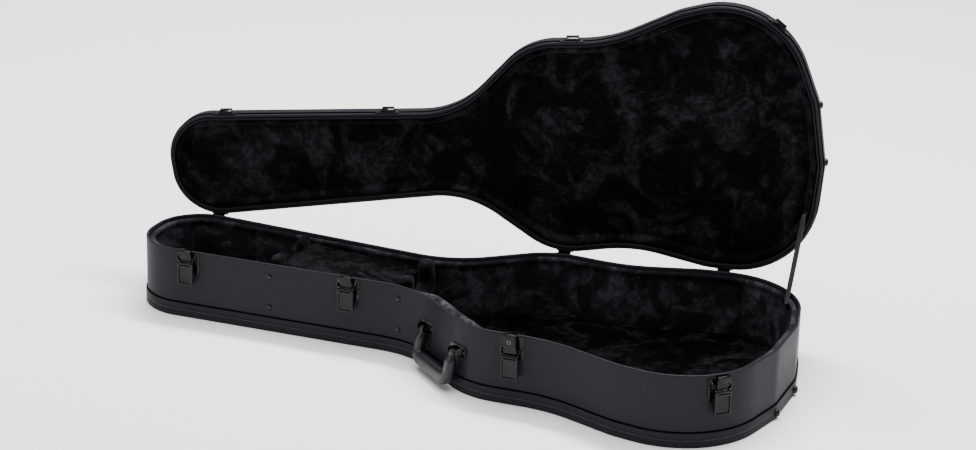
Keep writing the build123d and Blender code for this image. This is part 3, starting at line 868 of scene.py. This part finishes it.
class CASE_OT_lid_lining(bpy.types.Operator):
    """Line the lid: padded roll inside the tongue and the plush panel"""
    bl_idname = "guitar_case.lid_lining"
    bl_label = "Lid lining"

    def execute(self, context):
        def roll_section(place, run):
            lump = ripple((run, 0, 0), 40 * MM, 8)
            r = (5.2 + 0.5 * lump) * MM
            out = LID_LINING_OUT - r
            roll = arc((out, LID_BOARD - 12.3 * MM), r, 0, -180, 12)
            inner = out - r
            return ([(LID_LINING_OUT, LID_BOARD - 1 * MM)] + roll
                    + [(inner - 0.9 * MM, LID_BOARD - 8.5 * MM),
                       (inner - 3 * MM, LID_BOARD - 5.5 * MM),
                       (inner - 3.5 * MM, LID_BOARD - 1 * MM)])

        roll = band("lid_lining_roll", PADDING_STEP, roll_section, lid=True)
        smooth(roll, 80)
        finish_piece(roll, finish("lid plush"), "lid", "plush", "lid_lining")

        def surface(x, y, edge):
            sag = 1.5 * MM * ripple((x, y, 0), 110 * MM, 4)
            sag += 0.7 * MM * ripple((x, y, 0), 28 * MM, 6)
            crease = 1.6 * MM * seam_pull(y + 0.35 * (x - 60 * MM) + 30 * MM, 6 * MM) \
                * hump(x, y, (10 * MM, -20 * MM), (80 * MM, 60 * MM))
            crown = 2.4 * MM * (1 - math.exp(-edge / (16 * MM)))
            return LID_PANEL + 2 * MM - crown - sag + crease

        panel = spread_sheet("lid_lining_panel", 16 * MM, 2 * MM, -1, surface)
        panel.data.transform(LID_OPENING)
        smooth(panel, 80)
        finish_piece(panel, finish("lid plush"), "lid", "plush", "lid_lining")
        return {"FINISHED"}


def puff(piece, cap, held_below):
    """Fill a pad with air in a cloth simulation and cap how far it swells."""
    modify(piece, "REMESH", mode="VOXEL", voxel_size=PAD_VOXEL)
    rest = [v.co.copy() for v in piece.data.vertices]
    take(piece)
    pins = piece.vertex_groups.new(name="held")
    pins.add([i for i, co in enumerate(rest) if co.z < held_below], 1.0, "REPLACE")
    cloth = piece.modifiers.new("Cloth", "CLOTH")
    cloth.settings.use_pressure = True
    cloth.settings.uniform_pressure_force = 4.0
    cloth.settings.effector_weights.gravity = 0.0
    cloth.settings.vertex_group_mass = pins.name
    for step in range(1, 21):
        bpy.context.scene.frame_set(step)
    bpy.ops.object.modifier_apply(modifier=cloth.name)
    bpy.context.scene.frame_set(1)
    piece.vertex_groups.clear()
    for vertex, co in zip(piece.data.vertices, rest):
        move = vertex.co - co
        if move.length > cap:
            vertex.co = co + move.normalized() * cap
    modify(piece, "SUBSURF", levels=1, render_levels=1)


def rumple(piece, small, large, seed):
    """Uneven stuffing: move each point a little along its normal."""
    moves = []
    for vertex in piece.data.vertices:
        step = large * ripple(vertex.co, 38 * MM, seed) \
            + small * ripple(vertex.co, 12 * MM, seed + 1)
        moves.append(vertex.normal * step)
    for vertex, move in zip(piece.data.vertices, moves):
        vertex.co += move


class CASE_OT_partitions(bpy.types.Operator):
    """Stuff the two plush partitions that carry the neck"""
    bl_idname = "guitar_case.partitions"
    bl_label = "Neck partitions"

    def execute(self, context):
        for node_name, seed in (("head_partition", 11), ("neck_partition", 17)):
            pad = copy_node(node_name, f"{node_name}_pad")
            modify(pad, "REMESH", mode="VOXEL", voxel_size=PAD_VOXEL)
            modify(pad, "SMOOTH", factor=0.7, iterations=14, use_x=False)
            puff(pad, 3.5 * MM, FLOOR_TOP + 6 * MM)
            rumple(pad, 0.8 * MM, 1.8 * MM, seed)
            smooth(pad, 80)
            finish_piece(pad, finish("plush"), "base", "plush", node_name)
        return {"FINISHED"}


class CASE_OT_compartment_lid(bpy.types.Operator):
    """Stuff the compartment lid and sew its pull tab on"""
    bl_idname = "guitar_case.compartment_lid"
    bl_label = "Compartment lid"

    def execute(self, context):
        pad = copy_node("compartment_lid", "compartment_lid_pad")
        puff(pad, 1.8 * MM, 0.0)
        rumple(pad, 0.5 * MM, 1.0 * MM, 23)
        smooth(pad, 80)
        finish_piece(pad, finish("compartment plush"), "compartment_lid",
                     "compartment_plush", "compartment_lid")

        low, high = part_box("compartment_pull_tab")
        middle, tall = (low + high) / 2, high.z - low.z
        loop = [(-0.9, 0.0), (-1.0, 0.3), (-1.9, 0.62), (-1.7, 0.85), (-0.7, 0.99),
                (0.7, 0.99), (1.7, 0.85), (1.9, 0.62), (1.0, 0.3), (0.9, 0.0)]
        tab, cells = grid("compartment_tab_loop", 6, len(loop) - 1)
        wide = high.x - low.x

        def place(i, j):
            return (low.x + wide * i / 6, middle.y + loop[j][0] * MM,
                    low.z + tall * loop[j][1])

        lay_out(tab, cells, place, lambda i, j: (i * wide / 6, j * 2 * MM))
        modify(tab, "SOLIDIFY", thickness=0.9 * MM, offset=0)
        modify(tab, "BEVEL", width=0.25 * MM, segments=2, limit_method="ANGLE")
        smooth(tab, 60)
        finish_piece(tab, finish("tab leather"), "compartment_lid", "tab_leather",
                     "compartment_pull_tab")
        return {"FINISHED"}


# ---- hardware --------------------------------------------------------------------------------
def soften(node_name, width, body, material="dark metal", slot="hardware_metal"):
    """Copy of a hard node with its sharp edges rounded over."""
    piece = copy_node(node_name, f"{node_name}_finished")
    if width:
        modify(piece, "BEVEL", width=width, segments=2, limit_method="ANGLE",
               angle_limit=math.radians(35))
    smooth(piece, 38)
    finish_piece(piece, finish(material), body, slot, node_name)


def finish_rivets(body, *node_names):
    for node_name in node_names:
        soften(node_name, 0, body, "stud metal", "stud_metal")


class CASE_OT_latches(bpy.types.Operator):
    """Finish the draw latches, their keepers and the key lock"""
    bl_idname = "guitar_case.latches"
    bl_label = "Latches"

    def execute(self, context):
        edge = sizes().metal_edge
        for number in LATCHES:
            name = f"latch_{number}"
            soften(f"{name}_plate", edge, "base")
            soften(f"{name}_lever", edge, f"{name}_lever")
            soften(f"{name}_claw", edge, f"{name}_claw")
            soften(f"keeper_{number}", edge, "lid")
            finish_node("pin steel", f"{name}_claw_pin")
        soften("lock_cylinder", edge / 2, "lock", "lock metal", "lock_metal")
        soften("latch_lever_pins", edge, "base", "pin steel", "pin_steel")
        finish_rivets("base", "latch_rivets")
        finish_rivets("lid", "keeper_rivets")
        return {"FINISHED"}


class CASE_OT_hinges(bpy.types.Operator):
    """Finish the hinges and the studs that hold the stay strap"""
    bl_idname = "guitar_case.hinges"
    bl_label = "Hinges"

    def execute(self, context):
        edge = sizes().metal_edge
        for number in (1, 2, 3):
            for body in ("base", "lid"):
                soften(f"hinge_{number}_{body}_leaf", edge / 2, body)
        finish_node("pin steel", "hinge_pins", "handle_pins")
        finish_rivets("base", "base_hinge_rivets")
        finish_rivets("lid", "lid_hinge_rivets")
        for body in ("base", "lid"):
            soften(f"stay_{body}_stud", edge, body, slot="stud_metal")
        return {"FINISHED"}


class CASE_OT_studs(bpy.types.Operator):
    """Finish the partition rivets and the domed feet at the tail"""
    bl_idname = "guitar_case.studs"
    bl_label = "Studs and feet"

    def execute(self, context):
        finish_rivets("base", "partition_rivets", "base_tail_feet")
        finish_rivets("lid", "lid_tail_feet")
        return {"FINISHED"}


class CASE_OT_handle(bpy.types.Operator):
    """Mould the carrying handle and finish its two brackets"""
    bl_idname = "guitar_case.handle"
    bl_label = "Handle"

    def execute(self, context):
        for number in (1, 2):
            soften(f"handle_bracket_{number}", sizes().metal_edge, "base")
        finish_rivets("base", "handle_rivets")

        swing = JOINTS["handle_swing"]
        pivot = Vector(swing["pos_m"])
        run = -Vector(swing["axis"]).normalized()
        out = run.cross(Vector((0, 0, 1)))
        tilt = math.radians(10)
        down = Vector((0, 0, -1)) * math.cos(tilt) + out * math.sin(tilt)
        thick = run.cross(down)
        reach, drop, bend = 52 * MM, 47 * MM, 14 * MM
        leg, eye = drop - bend, 4.2 * MM     # straight run, and what stands above the pin
        half = [(-reach, (leg + eye) * k / 15 - eye) for k in range(15)]
        for k in range(13):
            a = math.pi / 2 * k / 12
            half.append((-reach + bend * (1 - math.cos(a)), leg + bend * math.sin(a)))
        half += [(-reach + bend + (reach - bend) * k / 12, drop) for k in range(1, 12)]
        path = half + [(0, drop)] + [(-side, fall) for side, fall in reversed(half)]
        around, count = 32, len(path)
        travel = [0.0]
        for a, b in zip(path, path[1:]):
            travel.append(travel[-1] + math.dist(a, b))
        piece, cells = grid("handle_grip_moulding", around, count - 1)

        def section(j):
            """Half sizes in and across the handle's plane at one station."""
            fall = path[j][1]
            leg_share = ramp(fall, 5 * MM, 17 * MM)
            bar_share = ramp(fall, drop - bend, drop)
            inside = (6.9 + 2.9 * leg_share + 1.6 * bar_share) * MM
            across = (4.2 + 4.0 * leg_share + 1.6 * bar_share) * MM
            end = min(travel[j], travel[-1] - travel[j]) / eye
            close = math.sqrt(max(0.0, 1 - (1 - min(end, 1.0)) ** 2))
            return inside * (0.35 + 0.65 * close) if end > 0 else 0.0, across * close

        def place(i, j):
            side, fall = path[j]
            before, after = path[max(j - 1, 0)], path[min(j + 1, count - 1)]
            way = Vector((after[0] - before[0], after[1] - before[1])).normalized()
            sideways = Vector((way.y, -way.x))
            inside, across = section(j)
            a = math.tau * i / around
            c, s = math.cos(a), math.sin(a)
            squareness = 0.72
            u = inside * math.copysign(abs(c) ** squareness, c)
            w = across * math.copysign(abs(s) ** squareness, s)
            mould_line = 0.25 * MM * seam_pull(8 * s, 0.6) if inside else 0.0
            u += math.copysign(mould_line, c)
            spot = Vector((side, fall)) + sideways * u
            return pivot + run * spot.x + down * spot.y + thick * w

        lay_out(piece, cells, place, lambda i, j: (i * 1.5 * MM, travel[j]))
        in_edit(piece, merge, outward)
        smooth(piece, 60)
        finish_piece(piece, finish("handle moulding"), "handle", "handle_moulding",
                     "handle_grip")
        return {"FINISHED"}


FRONT = (0.35, -0.87, 0.35)     # between its ends the strap turns its face this way


class CASE_OT_stay(bpy.types.Operator):
    """Weave the flat strap that holds the lid open"""
    bl_idname = "guitar_case.stay"
    bl_label = "Stay strap"

    def execute(self, context):
        solid = bpy.data.objects["stay_strap"].data
        points = sorted((v.co.copy() for v in solid.vertices), key=lambda p: p.z)
        ends = points[:len(points) // 2], points[len(points) // 2:]
        low, high = (sum(end, Vector()) / len(end) for end in ends)
        run = (high - low).normalized()
        edges = sorted(ends[0], key=lambda p: p.x)
        wide = (edges[-1] - edges[0]) - run * (edges[-1] - edges[0]).dot(run)
        wide.normalize()
        facing = run.cross(Vector(FRONT)).normalized()
        if facing.dot(wide) < 0:
            facing.negate()
        turn = math.atan2(run.dot(wide.cross(facing)), wide.dot(facing))
        rows, columns = 60, 8
        width = 8 * MM
        piece, cells = grid("stay_strap_webbing", columns, rows)

        def place(i, j):
            t = j / rows
            u = (i / columns - 0.5) * width
            side = Matrix.Rotation(turn * math.sin(math.pi * t), 3, run) @ wide
            return low.lerp(high, t) + side * u

        length = (high - low).length
        lay_out(piece, cells, place, lambda i, j: (i / columns * width, j / rows * length))
        modify(piece, "SOLIDIFY", thickness=1.1 * MM, offset=0)
        smooth(piece, 60)
        finish_piece(piece, finish("webbing"), None, "strap_webbing", "stay_strap")
        tuple(low)
        tuple(high)
        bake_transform(piece)
        return {"FINISHED"}


# ---- stage -----------------------------------------------------------------------------------
# Where the camera stands, the way back to it from the case, its roll and its lens
CAMERA_PLACE = (1.52932, -3.64731, 1.68744)
CAMERA_BACK = (0.352012, -0.867988, 0.350273)
CAMERA_ROLL = math.radians(1.549)
CAMERA_LENS = 97.77
PAPER = 0.86


def area_light(name, place, target, size, power):
    light = bpy.data.lights.new(name, "AREA")
    light.shape, light.energy = "RECTANGLE", power
    light.size, light.size_y = size
    lamp = bpy.data.objects.new(name, light)
    lamp.location = place
    aim = Vector(target) - Vector(place)
    lamp.rotation_euler = aim.to_track_quat("-Z", "Y").to_euler()
    bpy.context.scene.collection.objects.link(lamp)


class CASE_OT_stage(bpy.types.Operator):
    """Set the camera, the pale floor and the soft lights"""
    bl_idname = "guitar_case.stage"
    bl_label = "Stage"

    def execute(self, context):
        camera = bpy.data.cameras.new("camera")
        camera.lens, camera.sensor_width = CAMERA_LENS, 36
        camera.clip_end = 50
        eye = bpy.data.objects.new("camera", camera)
        back = Vector(CAMERA_BACK).normalized()
        level_right = Vector((0, 0, 1)).cross(back).normalized()
        up = back.cross(level_right)
        right = level_right * math.cos(CAMERA_ROLL) + up * math.sin(CAMERA_ROLL)
        up = back.cross(right)
        axes = Matrix((right, up, back)).transposed().to_4x4()
        eye.matrix_world = Matrix.Translation(CAMERA_PLACE) @ axes
        bpy.context.scene.collection.objects.link(eye)
        bpy.context.scene.camera = eye

        deselect()
        bpy.ops.mesh.primitive_plane_add(size=60, location=(0, 0, -0.3 * MM))
        floor = bpy.context.object
        floor.name = "stage_floor"
        paper = bpy.data.materials.new("pale floor")
        paper.use_nodes = True
        sheet = paper.node_tree.nodes["Principled BSDF"].inputs
        sheet["Base Color"].default_value = (PAPER, PAPER, PAPER, 1)
        sheet["Roughness"].default_value = 0.9
        floor.data.materials.append(paper)

        world = bpy.data.worlds.new("soft room")
        world.use_nodes = True
        sky = world.node_tree.nodes["Background"].inputs
        sky["Color"].default_value = (0.95, 0.97, 1.0, 1)
        sky["Strength"].default_value = 0.35
        bpy.context.scene.world = world
        sun = bpy.data.lights.new("ceiling", "SUN")
        sun.energy, sun.angle = 4.0, math.radians(60)
        bpy.context.scene.collection.objects.link(bpy.data.objects.new("ceiling", sun))
        area_light("left side", (-3.2, -1.6, 1.3), (-0.2, 0, 0.1), (1.6, 1.6), 40)
        area_light("tail side", (3.0, -0.6, 1.2), (0.5, 0, 0.1), (1.2, 1.8), 6)
        area_light("strip overhead", (0.2, 1.2, 3.0), (0.1, -0.1, 0.1), (3.5, 0.25), 220)
        return {"FINISHED"}


OPERATORS = (
    CASE_OT_base_shell, CASE_OT_lid_shell, CASE_OT_base_lining, CASE_OT_lid_lining,
    CASE_OT_partitions, CASE_OT_compartment_lid, CASE_OT_latches, CASE_OT_hinges,
    CASE_OT_studs, CASE_OT_handle, CASE_OT_stay, CASE_OT_stage,
)


class CASE_PT_panel(bpy.types.Panel):
    """Sidebar list of the case's sizes, colours and pieces"""
    bl_idname = "CASE_PT_panel"
    bl_label = "Guitar case"
    bl_space_type = "VIEW_3D"
    bl_region_type = "UI"
    bl_category = "Guitar case"

    def draw(self, context):
        for settings in (context.scene.guitar_case_sizes, context.scene.guitar_case_colours):
            for name in settings.bl_rna.properties.keys():
                if name not in ("rna_type", "name"):
                    self.layout.prop(settings, name)
        for operator in OPERATORS:
            self.layout.operator(operator.bl_idname)


CLASSES = (CaseSizes, CaseColours, *OPERATORS, CASE_PT_panel)


def register():
    for cls in CLASSES:
        bpy.utils.register_class(cls)
    bpy.types.Scene.guitar_case_sizes = PointerProperty(type=CaseSizes)
    bpy.types.Scene.guitar_case_colours = PointerProperty(type=CaseColours)


def unregister():
    del bpy.types.Scene.guitar_case_colours
    del bpy.types.Scene.guitar_case_sizes
    for cls in reversed(CLASSES):
        bpy.utils.unregister_class(cls)


def main():
    register()
    for operator in OPERATORS:
        family, name = operator.bl_idname.split(".")
        getattr(getattr(bpy.ops, family), name)()


if __name__ == "__main__":
    main()
